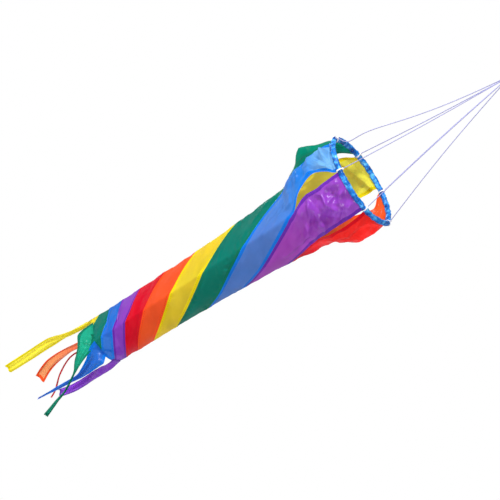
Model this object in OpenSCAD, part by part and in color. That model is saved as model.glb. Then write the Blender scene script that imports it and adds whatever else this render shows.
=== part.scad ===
// Spinning windsock: snap and ball-bearing swivel, six bridle lines, a sleeved hoop,
// a spiral tube of six fabric strips and six ribbon tails. Millimetres, hanging along -Z.

/* [Hoop] */
// Radius of the hoop, at the middle of its rod
hoop_r = 75; // [72:1:80]
// Thickness of the puckered fabric sleeve round the rod
sleeve_d = 8; // [8:0.5:10]
// Thickness of the hoop's rod
rod_d = 3; // [2.5:0.1:3.2]

/* [Tube] */
// Length of the fabric tube, from the hoop to the hem
tube_len = 525; // [500:5:540]
// Length of the open slits beside the flaps
slit_len = 115; // [100:5:130]
// Radius of the tube where the slits end
throat_r = 56; // [52:1:60]
// Radius of the tube at its tail end
tail_r = 41.5; // [40:0.5:46]
// Thickness of the sewn fabric
cloth_t = 0.5; // [0.4:0.1:0.8]

/* [Tails] */
// Half the width of a ribbon tail at its root
tail_root = 13; // [10:1:15]
// Half the width of a ribbon tail at its tip
tail_tip = 10; // [8:1:12]

/* [Bridle] */
// Height of the gathering knot above the hoop
bridle_rise = 270; // [250:5:300]
// How far the hoop's centre stands to one side of the knot
bridle_offset = 14.5; // [0:0.5:20]
// Thickness of a bridle line
line_d = 1.4; // [1:0.1:1.5]

/* [Snap and swivel] */
// Thickness of the snap's wire
snap_wire_d = 1.4; // [1.2:0.1:1.6]
// Radius of the snap's bends
snap_bend_r = 4.2; // [4:0.1:5]
// Radius of the swivel's barrel
barrel_r = 2.8; // [2.7:0.1:3.2]

/* [Hidden] */
$fn = 48;

NAMES = ["blue", "purple", "red", "orange", "yellow", "green"];
PAINT = ["#0a82e6", "#8240dc", "#dc0032", "#f5643c", "#ebd732", "#00917a"];
sides = len(NAMES);

// Snap: the origin is on the inside of its top bend, where a ring bears
wire_r = snap_wire_d / 2;
snap_top_z = wire_r - snap_bend_r;
snap_low_z = snap_top_z - 14.5;
gate_pivot_z = snap_top_z - 10.5;
pivot_gap = 0.05;
upper_pivot_z = snap_low_z - snap_bend_r;

// Swivel, measured down from the snap's lower bend
eye_r = 2.6;
eye_wire_r = 0.5;
stem_r = 0.6;
eye_in_r = eye_r - eye_wire_r;
upper_eye_z = upper_pivot_z + wire_r + pivot_gap - eye_in_r;
barrel_top_z = upper_eye_z - eye_r - 1.4;
barrel_h = 10;
barrel_low_z = barrel_top_z - barrel_h;
cap_h = 1.2;
wall_t = 0.7;
race_r = barrel_r - wall_t;
ball_r = 0.5;
ball_ring_r = race_r - ball_r - 0.05;
ball_count = 8;
ball_z = barrel_low_z + 1 + ball_r + 0.03;
head_z = ball_z + ball_r + 0.03;
lower_eye_z = barrel_low_z - 1 - eye_r;
lower_pivot_z = lower_eye_z - eye_r;

// Bridle: a loop of gathered line hangs in the lower eye, over its knot
loop_r = 3.6;
loop_wire_r = 0.8;
loop_z = lower_pivot_z + eye_wire_r + pivot_gap - loop_r + loop_wire_r;
knot_top_z = loop_z - loop_r + 0.4;
knot_low_z = -62;
hoop_z = knot_low_z - bridle_rise;
hoop_x = bridle_offset;
line_r = line_d / 2;
gather_r = 1.7;
sleeve_r = sleeve_d / 2;
line_end_z = sleeve_r + 1.6;

// The sock leans on its loop until its middle of mass hangs straight under the swivel
hang_tilt = 2.03;
module hang() {
    translate([0, 0, lower_pivot_z]) rotate([0, hang_tilt, 0]) translate([0, 0, -lower_pivot_z]) children();
}

// Spiral of the seams: none beside the slits, then faster and faster towards the tail
seam_start = 180;
spiral_rate = 301.8;
spiral_apex = 556 + slit_len;
end_turn = 20;
end_lead = 30;
function clamp01(t) = min(1, max(0, t));
function smooth(t) = let(c = clamp01(t)) c * c * (3 - 2 * c);
function law(s) = s <= slit_len ? 0
    : spiral_rate * ln((spiral_apex - slit_len) / (spiral_apex - s));
function law_station(turn) = spiral_apex - (spiral_apex - slit_len) * exp(-turn / spiral_rate);
function end_share(s) = smooth((s - tube_len + 85) / 80);

// The slack faces carry each seam ahead of the spiral; the second time round, the first seams run further ahead
function first_lead(a) = (22 + 8 * smooth((a - 255) / 60)) * smooth((a - 180) / 50) * (1 - smooth((a - 370) / 170));
function second_lead(a, q, late) = let(over = smooth((a - 370) / 170))
    (24 + 9 * q) * smooth((a - 180 + 8 * q) / (50 - 10 * q)) * (1 - over) + end_lead * late * over;

// Seams 0 and 5 are pulled to one side beside their flaps
function seam_pull(k, s) = k == 0 ? 12 * smooth((s - 7) / 20) * (1 - smooth((s - 110) / 80))
    : k == 5 ? 28 * smooth((s - 30) / 50) * (1 - smooth((s - 100) / 115)) : 0;

// Where each seam starts on the hoop, past its even share
SEAM_SHIFT = [0, 6, 1, 0, 4, 0];
function hoop_angle(k) = seam_start + 60 * k + SEAM_SHIFT[k % sides];
function seam_angle(k, s) = k >= sides ? seam_angle(k - sides, s) + 360
    : let(late = end_share(s), a = seam_start + 60 * k + law(s) + end_turn * late)
    a + smooth((s - 65) / 55) * (first_lead(a) + second_lead(a - 360, max(0, 3 - k), late))
        + SEAM_SHIFT[k] * (1 - smooth(s / 95)) + seam_pull(k, s);

// The tube hangs in slack faces between its ridges: [from, to, share of a flat face]
FACES = [[180, 258, 0.7], [258, 360, 0.35]];
function turn360(a) = a - 360 * floor(a / 360);
function face_dent(a, f) = let(half = (f[1] - f[0]) / 2, off = turn360(a) - f[0] - half)
    abs(off) >= half ? 0 : f[2] * (1 - cos(half) / cos(off));
function section(a, s) = 1 - (face_dent(a, FACES[0]) + face_dent(a, FACES[1])) * smooth((s - 70) / 60);

// Radius of the tube, and of the plain flaps above it
flap_start = 7;
function tube_r(s) = tail_r + (throat_r - tail_r) * exp(-(s - slit_len) / 130);
function plain_r(s) = s >= slit_len ? tube_r(s)
    : hoop_r + (throat_r - hoop_r) * smooth((s - flap_start) / (slit_len - flap_start));

// Flaps, at these distances below the hoop: how far the left and right edges leave the seams, in degrees,
// and how far the left edge, the fold and the right edge stand out of the plain surface
AT = [0, 8, 20, 33, 46, 60, 72, 85, 97, 116];
LEFT = [
    [10, 9, 1.5, 0, 0, 0, 0, 0, 0, 0], [0, 1, 2, 3, 5, 5, 4, 2, 0, 0], [1, 2, 4, 6, 8, 9, 10, 6, 0, 0],
    [4, 5, 6, 6, 6, 6, 5, 3, 0, 0], [6, 8, 8, 9, 10, 9, 7, 5, 0, 0], [0, 8, 20, 26, 26, 22, 14, 6, 0, 0]];
RIGHT = [
    [0, 1, 8, 15, 20, 19, 12, 8, 1, 0], [0, 0, -1, -2, -3, -4, -6, -3, 0, 0], [0, 1, 2, 3, 4, 4, 3, 2, 0, 0],
    [0, 0, 15, 15, 13, 10, 6, 3, 0, 0], [0, 0, -7, -12, -11, -10, -6, -3, 0, 0], [0, 0, 0, 0, 0, 0, 0, 0, 0, 0]];
STAND = [
    [[0, 1, 3, 5, 6, 7, 9, 10, 8, 0], [0, 1, 3, 4, 4, 5, 6, 7, 5, 0], [0, -1, -2, -3, -3, -2, 0, 2, 1, 0]],
    [[0, 0, 0, 0, 1, 2, 2, 2, 1, 0], [0, 1, 3, 4, 5, 5, 5, 4, 2, 0], [0, 0, 0, 1, 2, 3, 4, 3, 1, 0]],
    [[0, 1, 2, 3, 4, 5, 5, 3, 1, 0], [0, 2, 4, 7, 9, 11, 7, 2, 0, 0], [0, 2, 5, 8, 10, 11, 5, 0, -1, 0]],
    [[0, 2, 5, 8, 10, 11, 5, 0, -1, 0], [0, 1, 4, 6, 7, 7, 5, 3, 1, 0], [0, 0, -3, -4, -3, -1, 0, 0, 0, 0]],
    [[0, 1, 2, 2, 2, 2, 1, 0, 0, 0], [0, 1, 3, 4, 5, 5, 4, 2, 1, 0], [0, 1, 2, 2, 1, 0, 0, 0, 0, 0]],
    [[0, -1, -2, -2, -1, 0, 1, 1, 0, 0], [0, 3, 8, 15, 23, 27, 18, 13, 9, 0], [0, 0, 2, 4, 5, 6, 8, 9, 7, 0]]];
FOLD_AT = [0.5, 0.5, 0.6, 0.5, 0.5, 0.76];
function along(values, s) = lookup(s, [for (i = [0 : len(AT) - 1]) [AT[i], values[i]]]);
function edge_gap(s) = 0.22 + 1.1 * (1 - smooth((s - 8) / 12));

// Stations along a strip: close together in the flap, then one for each step of the spiral
rod_gap = 1.2;
across = 6;
turn_step = 12;
flap_root = rod_d / 2 + rod_gap;
flap_stations = concat([flap_root], [for (i = [0 : 10]) flap_start - 0.5 + (slit_len - flap_start + 0.5) * i / 11]);
turn_total = law(tube_len);
turn_count = ceil(turn_total / turn_step);
tube_stations = [for (i = [0 : turn_count]) law_station(turn_total * i / turn_count)];
stations = concat(flap_stations, tube_stations);

function stand_out(k, s, u) =
    let(edge = along(STAND[k][u < FOLD_AT[k] ? 0 : 2], s),
        share = u < FOLD_AT[k] ? u / FOLD_AT[k] : (1 - u) / (1 - FOLD_AT[k]))
    edge + (along(STAND[k][1], s) - edge) * smooth(share);

function strip_point(k, s, u, inset) =
    let(left = seam_angle(k, s) + along(LEFT[k], s) + edge_gap(s),
        right = seam_angle(k + 1, s) - along(RIGHT[k], s) - edge_gap(s),
        a = left + (right - left) * u,
        r = plain_r(s) * section(a, s) + stand_out(k, s, u) - inset)
    [hoop_x + r * cos(a), r * sin(a), hoop_z - s];

// A closed sheet: n by m quads, outer points first, then the inner ones
function sheet_faces(n, m) =
    let(w = m + 1, inner = (n + 1) * (m + 1))
    concat(
        [for (i = [0 : n - 1], j = [0 : m - 1])
            each [[i * w + j, i * w + j + 1, (i + 1) * w + j + 1],
                  [i * w + j, (i + 1) * w + j + 1, (i + 1) * w + j]]],
        [for (i = [0 : n - 1], j = [0 : m - 1])
            each [[inner + i * w + j, inner + (i + 1) * w + j + 1, inner + i * w + j + 1],
                  [inner + i * w + j, inner + (i + 1) * w + j, inner + (i + 1) * w + j + 1]]],
        [for (j = [0 : m - 1])
            each [[j + 1, j, inner + j], [j + 1, inner + j, inner + j + 1],
                  [n * w + j, n * w + j + 1, inner + n * w + j + 1],
                  [n * w + j, inner + n * w + j + 1, inner + n * w + j]]],
        [for (i = [0 : n - 1])
            each [[i * w, (i + 1) * w, inner + (i + 1) * w], [i * w, inner + (i + 1) * w, inner + i * w],
                  [(i + 1) * w + m, i * w + m, inner + i * w + m],
                  [(i + 1) * w + m, inner + i * w + m, inner + (i + 1) * w + m]]]
    );

module strip(k) {
    color(PAINT[k])
        polyhedron(
            points = concat(
                [for (s = stations, j = [0 : across]) strip_point(k, s, j / across, 0)],
                [for (s = stations, j = [0 : across]) strip_point(k, s, j / across, cloth_t)]),
            faces = sheet_faces(len(stations) - 1, across));
}

// Tails: each route is [x, y, drop, direction of the width], from the middle of the tube's end
tail_gap = 1.2;
TAIL_ROUTES = [
    [[9, -40, 0, 10], [17, -40, 12, 15], [27, -34, 53, 40], [26, -28, 82, 70], [25, -22, 112, 85],
     [23, -16, 160, 90]],
    [[40, -9, 0, 80], [41, -14, 20, 72], [40, -2, 65, 50], [39, 8, 103, 40], [35, 22, 141, 30]],
    [[29, 30, 0, 136], [20, 30, 16, 120], [2, 24, 36, 90], [-7, 22, 58, 90], [-8, 26, 88, 90], [7, 36, 128, 90],
     [26, 48, 159, 90], [34, 60, 182, 90]],
    [[-9, 41, 0, 192], [-14, 42, 25, 200], [-17, 43, 54, 230], [-19, 45, 96, 240], [-17, 48, 141, 210],
     [-4, 52, 177, 190]],
    [[-38.5, 15.5, 0, 248], [-40, 18, 20, 255], [-43, 22, 61, 250], [-48, 22, 102, 240], [-48, 18, 148, 235],
     [-48, 15, 199, 235]],
    [[-32, -27, 0, 310], [-22, -36, 8, 315], [-9, -44, 16, 320], [5, -54, 34, 330], [19, -61, 50, 350],
     [35, -68, 76, 375], [42, -72, 97, 390], [53, -78, 127, 390]]
];
tail_steps = 4;

// Length over which a tail leaves the tube's own section
root_fit = 16;

// Smooth curve through a route's points, at t counted in points
function knot_at(p, i) = p[max(0, min(len(p) - 1, i))];
function curve_at(p, t) =
    let(i = min(len(p) - 2, floor(t)), f = t - i,
        a = knot_at(p, i - 1), b = knot_at(p, i), c = knot_at(p, i + 1), d = knot_at(p, i + 2))
    0.5 * (2 * b + (c - a) * f + (2 * a - 5 * b + 4 * c - d) * f * f + (3 * b - a - 3 * c + d) * f * f * f);

function tail_point(p, t, side, inset) =
    let(q = curve_at(p, t), n = len(p) - 1,
        w = tail_root + (tail_tip - tail_root) * t / n,
        fit = 1 - (1 - section(atan2(q[1], q[0]), tube_len)) * (1 - smooth(q[2] / root_fit)))
    [hoop_x + q[0] * fit + side * w * cos(q[3]) - inset * sin(q[3]),
     q[1] * fit + side * w * sin(q[3]) + inset * cos(q[3]),
     hoop_z - tube_len - tail_gap - q[2]];

module tail(k) {
    route = TAIL_ROUTES[k];
    n = (len(route) - 1) * tail_steps;
    color(PAINT[k])
        polyhedron(
            points = concat(
                [for (i = [0 : n], side = [-1, 0, 1]) tail_point(route, i / tail_steps, side, 0)],
                [for (i = [0 : n], side = [-1, 0, 1]) tail_point(route, i / tail_steps, side, cloth_t)]),
            faces = sheet_faces(n, 2));
}

// Ring of round wire standing in the XZ plane
module wire_ring(r, w, angle = 360, from = 0) {
    rotate([90, 0, 0]) rotate([0, 0, from]) rotate_extrude(angle = angle) translate([r, 0]) circle(w);
}

module snap_wire() {
    color("silver") {
        translate([0, 0, snap_top_z]) wire_ring(snap_bend_r, wire_r, 180, 0);
        translate([0, 0, snap_low_z]) wire_ring(snap_bend_r, wire_r, 180, 180);
        translate([-snap_bend_r, 0, snap_low_z]) cylinder(h = snap_top_z - snap_low_z, r = wire_r);
        translate([snap_bend_r, 0, snap_low_z]) cylinder(h = 2.2, r = wire_r);
        translate([snap_bend_r, 0, snap_top_z - 1]) cylinder(h = 1, r = wire_r);
    }
}

// Clevis at the foot of the gate; its two ears hold the gate's pin
clevis_w = 3;
clevis_t = 3.2;
ear_gap = 1.5;
pin_r = 0.45;
clevis_low_z = snap_low_z + 0.6;
module snap_clevis() {
    color("silver") translate([snap_bend_r, 0, 0]) difference() {
        translate([-clevis_w / 2, -clevis_t / 2, clevis_low_z])
            cube([clevis_w, clevis_t, gate_pivot_z + 1.4 - clevis_low_z]);
        translate([-clevis_w, -ear_gap / 2, gate_pivot_z - 1.6]) cube([2 * clevis_w, ear_gap, 10]);
        translate([0, 0, clevis_low_z - 1]) cylinder(h = snap_low_z + 2.2 - clevis_low_z + 1, r = wire_r);
        translate([0, clevis_t, gate_pivot_z]) rotate([90, 0, 0]) cylinder(h = 2 * clevis_t, r = pin_r);
    }
}

module snap_gate_pin() {
    color("gray") translate([snap_bend_r, clevis_t / 2, gate_pivot_z]) rotate([90, 0, 0])
        cylinder(h = clevis_t, r = pin_r);
}

// Gate: an eye on the pin, a straight wire, and a tongue behind the snap's nose
gate_top_z = snap_top_z - 1.2;
tongue_t = 0.4;
module snap_gate() {
    color("silver") translate([snap_bend_r, 0, 0]) difference() {
        union() {
            translate([0, 0.65, gate_pivot_z]) rotate([90, 0, 0]) cylinder(h = 1.3, r = 1.2);
            translate([0, 0, gate_pivot_z]) cylinder(h = gate_top_z - gate_pivot_z, r = 0.6);
            translate([-wire_r - 0.1 - tongue_t, -0.5, gate_top_z - 1.4]) cube([1, 1, 1.4]);
            translate([-wire_r - 0.1 - tongue_t, -0.5, gate_top_z - 0.1]) cube([tongue_t, 1, 1.1]);
        }
        translate([0, 2, gate_pivot_z]) rotate([90, 0, 0]) cylinder(h = 4, r = pin_r + 0.05);
    }
}

module swivel_upper_eye() {
    color("gold") {
        translate([0, 0, upper_eye_z]) rotate([0, 0, 90]) wire_ring(eye_r, eye_wire_r);
        translate([0, 0, barrel_top_z - cap_h]) cylinder(h = upper_eye_z - eye_r - barrel_top_z + cap_h, r = stem_r);
        translate([0, 0, barrel_top_z - cap_h - 0.8]) cylinder(h = 0.8, r = 1.3);
    }
}

module swivel_cap() {
    color("gold") difference() {
        translate([0, 0, barrel_top_z - cap_h]) cylinder(h = cap_h, r = race_r);
        translate([0, 0, barrel_top_z - cap_h - 1]) cylinder(h = cap_h + 2, r = stem_r);
    }
}

module swivel_barrel() {
    color("gold") difference() {
        translate([0, 0, barrel_low_z]) rotate_extrude() polygon([
            [0, 0], [barrel_r - 0.8, 0], [barrel_r, 0.8], [barrel_r, barrel_h - 0.8],
            [barrel_r - 0.4, barrel_h], [0, barrel_h]]);
        translate([0, 0, barrel_low_z + 1]) cylinder(h = barrel_h, r = race_r);
        translate([0, 0, barrel_low_z - 1]) cylinder(h = 3, r = stem_r + 0.06);
    }
}

module swivel_balls() {
    color("silver") for (i = [0 : ball_count - 1])
        rotate([0, 0, 360 / ball_count * i]) translate([ball_ring_r, 0, ball_z]) sphere(ball_r);
}

module swivel_lower_eye() {
    color("gold") {
        translate([0, 0, lower_eye_z]) rotate([0, 0, 90]) wire_ring(eye_r, eye_wire_r);
        translate([0, 0, lower_eye_z + eye_r]) cylinder(h = head_z - lower_eye_z - eye_r, r = stem_r);
        translate([0, 0, head_z]) cylinder(h = 1, r = race_r - 0.15);
    }
}

// Loop of gathered line, and the knot that ties the six lines together under it
knot_r = 4;
knot_wrap_r = 1.3;
module bridle_knot() {
    knot_h = knot_top_z - knot_low_z;
    color("white") {
        translate([0, 0, loop_z]) wire_ring(loop_r, loop_wire_r);
        translate([0, 0, knot_low_z]) cylinder(h = knot_h, r = knot_r - knot_wrap_r);
        for (i = [0 : 2])
            translate([0, 0, knot_low_z + knot_h * (i + 0.75) / 3.5])
                rotate_extrude() translate([knot_r - knot_wrap_r, 0]) circle(knot_wrap_r);
    }
}

function line_foot(a) = [hoop_x + hoop_r * cos(a), hoop_r * sin(a), hoop_z + line_end_z];
function line_head(a) = [gather_r * cos(a), gather_r * sin(a), knot_low_z];

// Bridle lines leave the knot and run straight to the hoop, one to each slit
function line_angle(i) = hoop_angle(i + 2);
module bridle_line(i) {
    a = line_angle(i);
    run = line_head(a) - line_foot(a);
    reach = norm(run);
    color("lavender") translate(line_foot(a))
        rotate([0, acos(run[2] / reach), atan2(run[1], run[0])]) cylinder(h = reach, r = line_r);
}

// A turn of the line round the sleeve, with its knot on top
module line_knot(i) {
    turn_r = 0.6;
    color("white") translate([hoop_x, 0, hoop_z]) rotate([0, 0, line_angle(i)]) translate([hoop_r, 0, 0]) {
        wire_ring(sleeve_r + turn_r, turn_r);
        translate([0, 0, sleeve_r + 0.4]) cylinder(h = 2.6, r = 1.5);
    }
}

rod_split = 1;
module hoop_rod() {
    color("white") translate([hoop_x, 0, hoop_z]) rotate([0, 0, rod_split / 2])
        rotate_extrude(angle = 360 - rod_split) translate([hoop_r, 0]) circle(rod_d / 2);
}

ferrule_angle = 20;
ferrule_t = 0.6;
module hoop_ferrule() {
    color("goldenrod") translate([hoop_x, 0, hoop_z]) rotate([0, 0, -ferrule_angle / 2])
        rotate_extrude(angle = ferrule_angle) translate([hoop_r, 0]) difference() {
            circle(rod_d / 2 + 0.03 + ferrule_t);
            circle(rod_d / 2 + 0.03);
        }
}

// Fabric casing: hollow for the rod and its ferrule, with a slot below that takes the flaps' top edges
sleeve_slot = 1.6;
module hoop_sleeve() {
    color("#5abef0") translate([hoop_x, 0, hoop_z]) rotate_extrude($fn = 96) translate([hoop_r, 0])
        difference() {
            circle(sleeve_r);
            circle(rod_d / 2 + ferrule_t + 0.4);
            translate([-sleeve_slot / 2, -sleeve_r - 1]) square([sleeve_slot, sleeve_r + 1]);
        }
}

snap_wire();
snap_clevis();
snap_gate();
snap_gate_pin();
swivel_upper_eye();
swivel_cap();
swivel_barrel();
swivel_balls();
swivel_lower_eye();
hang() bridle_knot();
hang() hoop_rod();
hang() hoop_ferrule();
hang() hoop_sleeve();
for (i = [1 : sides]) {
    hang() bridle_line(i);
    hang() line_knot(i);
}
for (k = [0 : sides - 1]) {
    hang() strip(k);
    hang() tail(k);
}
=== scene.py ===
"""Looks of a hanging spinning windsock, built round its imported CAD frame. Metres, in the row frame.

Sock points are [x, y, z] from the hoop's centre, with z up the sock's own axis. The cloth's shapes are worked
out in mm: s is the distance below the hoop, phi a direction round the axis in degrees and k a strip's place
in NAMES.
"""
import math
import bmesh
import bpy
import numpy as np
from mathutils import Matrix, Vector, noise


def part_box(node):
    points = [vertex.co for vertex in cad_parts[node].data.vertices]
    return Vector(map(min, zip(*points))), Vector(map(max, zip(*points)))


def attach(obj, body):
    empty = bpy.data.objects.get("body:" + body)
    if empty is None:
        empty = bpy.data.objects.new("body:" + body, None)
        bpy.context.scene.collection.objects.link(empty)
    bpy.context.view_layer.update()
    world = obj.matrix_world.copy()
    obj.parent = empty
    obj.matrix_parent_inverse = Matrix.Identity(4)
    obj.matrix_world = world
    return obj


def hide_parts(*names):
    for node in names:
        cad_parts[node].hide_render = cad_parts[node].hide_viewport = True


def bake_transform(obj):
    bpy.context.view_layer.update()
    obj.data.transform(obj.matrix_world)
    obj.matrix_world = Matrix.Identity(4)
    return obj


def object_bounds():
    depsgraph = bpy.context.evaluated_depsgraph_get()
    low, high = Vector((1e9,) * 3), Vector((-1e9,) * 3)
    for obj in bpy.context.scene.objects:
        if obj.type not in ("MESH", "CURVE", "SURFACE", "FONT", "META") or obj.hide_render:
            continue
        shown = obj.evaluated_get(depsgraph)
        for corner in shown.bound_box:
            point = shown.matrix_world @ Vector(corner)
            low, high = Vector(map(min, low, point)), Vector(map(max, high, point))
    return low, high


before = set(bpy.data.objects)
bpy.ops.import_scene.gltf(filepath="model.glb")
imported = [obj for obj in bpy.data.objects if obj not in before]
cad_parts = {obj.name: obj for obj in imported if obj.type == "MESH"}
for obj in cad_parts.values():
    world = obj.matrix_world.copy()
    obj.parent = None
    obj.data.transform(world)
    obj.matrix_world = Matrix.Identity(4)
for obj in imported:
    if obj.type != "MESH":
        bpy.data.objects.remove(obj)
CAD_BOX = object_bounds()
MM = 0.001
NAMES = ["blue", "purple", "red", "orange", "yellow", "green"]
SIDES = len(NAMES)
rng = np.random.default_rng(7)

# ---------------------------------------------------------------- the sock's own frame
# The whole sock leans, as its centre of mass hangs straight below the swivel
HANG_TILT = math.radians(2.03)
rod_lo, rod_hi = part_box("hoop_rod")
SOCK = Matrix.Translation((rod_lo + rod_hi) / 2) @ Matrix.Rotation(HANG_TILT, 4, "Y")
SOCK_NP = np.array(SOCK)


def hang(points):
    """Sock points to the row frame."""
    p = np.asarray(points, float)
    return p @ SOCK_NP[:3, :3].T + SOCK_NP[:3, 3]


# ---------------------------------------------------------------- camera
# Fitted to the hoop's ellipse and the tube's slant in the photograph
PITCH, ROLL = math.radians(21), math.radians(32)
STAND_OFF, HOOP_RIGHT, HOOP_UP = 2.2, 0.17205, 0.10695
look = Vector((0, math.cos(PITCH), -math.sin(PITCH)))
level_right, level_up = Vector((1, 0, 0)), Vector((0, math.sin(PITCH), math.cos(PITCH)))
right = math.cos(ROLL) * level_up + math.sin(ROLL) * level_right
up = math.sin(ROLL) * level_up - math.cos(ROLL) * level_right
eye = -STAND_OFF * look - HOOP_RIGHT * right - HOOP_UP * up
cam_data = bpy.data.cameras.new("camera")
cam_data.sensor_width, cam_data.lens = 36, 102.19
cam_data.clip_start, cam_data.clip_end = 0.05, 60
camera = bpy.data.objects.new("camera", cam_data)
axes = Matrix((right, up, -look)).transposed().to_4x4()
camera.matrix_world = SOCK @ Matrix.Translation(eye) @ axes
bpy.context.scene.collection.objects.link(camera)
bpy.context.scene.camera = camera

# ---------------------------------------------------------------- stage and light
scene = bpy.context.scene
scene.view_settings.view_transform = "Standard"
scene.view_settings.look = "None"
world = bpy.data.worlds.new("studio")
scene.world = world
world.use_nodes = True
SKY = 0.48
sky = world.node_tree
shine = sky.nodes["Background"].inputs["Strength"]
sky.nodes["Background"].inputs["Color"].default_value = (1, 1, 1, 1)
seen = sky.nodes.new("ShaderNodeLightPath").outputs["Is Camera Ray"]
# full white to the camera, SKY to everything else
level = sky.nodes.new("ShaderNodeMath")
level.operation = "MULTIPLY_ADD"
level.inputs[1].default_value, level.inputs[2].default_value = 1 - SKY, SKY
sky.links.new(seen, level.inputs[0])
sky.links.new(level.outputs[0], shine)


def plain(name, color):
    m = bpy.data.materials.new(name)
    m.use_nodes = True
    b = m.node_tree.nodes["Principled BSDF"]
    b.inputs["Base Color"].default_value = (*color, 1)
    b.inputs["Roughness"].default_value = 0.9
    return m


FLOOR_HALF, FLOOR_DROP = 14.0, 0.35
floor_z = CAD_BOX[0].z - FLOOR_DROP
corners = [(-1, -1), (1, -1), (1, 1), (-1, 1)]
floor_mesh = bpy.data.meshes.new("floor")
floor_mesh.from_pydata([(x * FLOOR_HALF, y * FLOOR_HALF, floor_z) for x, y in corners], [], [(0, 1, 2, 3)])
floor = bpy.data.objects.new("floor", floor_mesh)
# white to the camera, pale grey to everything else
pale = plain("pale_floor", (0.8, 0.8, 0.8))
floor_nodes, floor_links = pale.node_tree.nodes, pale.node_tree.links
glow = floor_nodes.new("ShaderNodeEmission")
choose = floor_nodes.new("ShaderNodeMixShader")
path = floor_nodes.new("ShaderNodeLightPath")
floor_links.new(path.outputs["Is Camera Ray"], choose.inputs["Fac"])
floor_links.new(floor_nodes["Principled BSDF"].outputs["BSDF"], choose.inputs[1])
floor_links.new(glow.outputs["Emission"], choose.inputs[2])
floor_links.new(choose.outputs[0], floor_nodes["Material Output"].inputs["Surface"])
floor_mesh.materials.append(pale)
scene.collection.objects.link(floor)

light_up = (SOCK.to_3x3() @ up).normalized()
light_back = -(SOCK.to_3x3() @ look).normalized()
light_right = (SOCK.to_3x3() @ right).normalized()
middle = hang([[0, 0, -0.25]])[0]


def area_light(name, direction, distance, size, power):
    """A disk light that looks at the sock's middle; metres and watts."""
    data = bpy.data.lights.new(name, "AREA")
    data.shape, data.size, data.energy = "DISK", size, power
    o = bpy.data.objects.new(name, data)
    place = Vector(middle) + direction.normalized() * distance
    o.matrix_world = Matrix.Translation(place) @ direction.to_track_quat("Z", "Y").to_matrix().to_4x4()
    scene.collection.objects.link(o)


area_light("key", light_up + 0.6 * light_back - 0.1 * light_right, distance=2.2, size=0.35, power=72)
area_light("fill", 0.9 * light_back - 0.45 * light_up + 0.2 * light_right, distance=2.4, size=0.3, power=30)
area_light("rear", -0.8 * light_back + 0.3 * light_up - 0.4 * light_right, distance=2.4, size=0.9, power=34)

# ---------------------------------------------------------------- shapes of the sock
HOOP_R, TUBE_LEN, FLAP_TOP, FLAP_END = 75.0, 525.0, 7, 115.0
# How far each strip's left seam is turned where it meets the hoop, in degrees
HOOP_SHIFT = [0, 6, 1, 0, 4, 0]
# The spiral's gain in degrees, and the s at which its formula runs out
TWIST, TWIST_END = 301.8, 671.0
# The tube's radius at its tail end, how much wider it is at the flaps, and the length over which that fades
TUBE_R, TUBE_FLARE, TUBE_TAPER = 41.5, 14.5, 130
# The near ridge of the tube's section, and the two directions where the flat faces beside it end
NEAR_RIDGE, UPPER_FACE, LOWER_FACE = 258, 180, 360
GREEN = NAMES.index("green")


def smooth(t):
    """0 to 1 with a level start and end."""
    c = np.clip(t, 0, 1)
    return c * c * (3 - 2 * c)


def spiral(s):
    """How far the seams have turned at s, in degrees; they turn faster towards the tail end."""
    return TWIST * np.log((TWIST_END - FLAP_END) / (TWIST_END - np.clip(s, FLAP_END, None)))


def seam_angle(k, s):
    """Direction in degrees of the seam on the left of strip k, fitted to the photograph."""
    if k >= SIDES:
        return seam_angle(k - SIDES, s) + 360
    s = np.asarray(s, float)
    late = smooth((s - 440) / 80)
    a = 180 + 60 * k + spiral(s) + 20 * late
    turned = smooth((s - 65) / 55)
    # each seam leads the plain spiral on the near side, less so as it goes round the back
    lead = (22 + 8 * smooth((a - 255) / 60)) * smooth((a - 180) / 50) * (1 - smooth((a - 370) / 170))
    # and leads again when it comes to the near side a second time
    b, early = a - 360, max(0, 3 - k)
    over = smooth((b - 370) / 170)
    again = smooth((b - 180 + 8 * early) / (50 - 10 * early))
    lead += (24 + 9 * early) * again * (1 - over) + 30 * late * over
    a = a + turned * lead + HOOP_SHIFT[k] * (1 - smooth(s / 95))
    # the seams on the left of the blue and the green strip stand further round along their flaps
    if k == 0:
        a = a + 12 * smooth((s - 7) / 20) * (1 - smooth((s - 110) / 80))
    if k == GREEN:
        a = a + 28 * smooth((s - 30) / 50) * (1 - smooth((s - 100) / 115))
    return a


def flat_face(p, start, end):
    """How far a flat face from start to end lies inside the circle at p, as a share of the radius."""
    facing, half = (start + end) / 2, (end - start) / 2
    return 1 - np.cos(np.radians(half)) / np.cos(np.radians(np.clip(p, start, end) - facing))


def section(phi, s):
    """Radius of the tube's section against a circle's: flatter on the two faces beside the near ridge."""
    p = np.mod(phi, 360)
    upper = np.where((p > UPPER_FACE) & (p <= NEAR_RIDGE), 0.7 * flat_face(p, UPPER_FACE, NEAR_RIDGE), 0)
    lower = np.where(p > NEAR_RIDGE, 0.35 * flat_face(p, NEAR_RIDGE, LOWER_FACE), 0)
    return 1 - (upper + lower) * smooth((s - 70) / 60)


def tube_r(s):
    return TUBE_R + TUBE_FLARE * np.exp(-(s - FLAP_END) / TUBE_TAPER)


def flap_r(s):
    """Radius at s above the seams' start, from the hoop's to the tube's."""
    return HOOP_R - (HOOP_R - TUBE_R - TUBE_FLARE) * smooth((s - FLAP_TOP) / (FLAP_END - FLAP_TOP))


# Stations down a flap, in mm below the hoop
AT = [0, 8, 20, 33, 46, 56, 72, 85, 97, 116]
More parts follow.
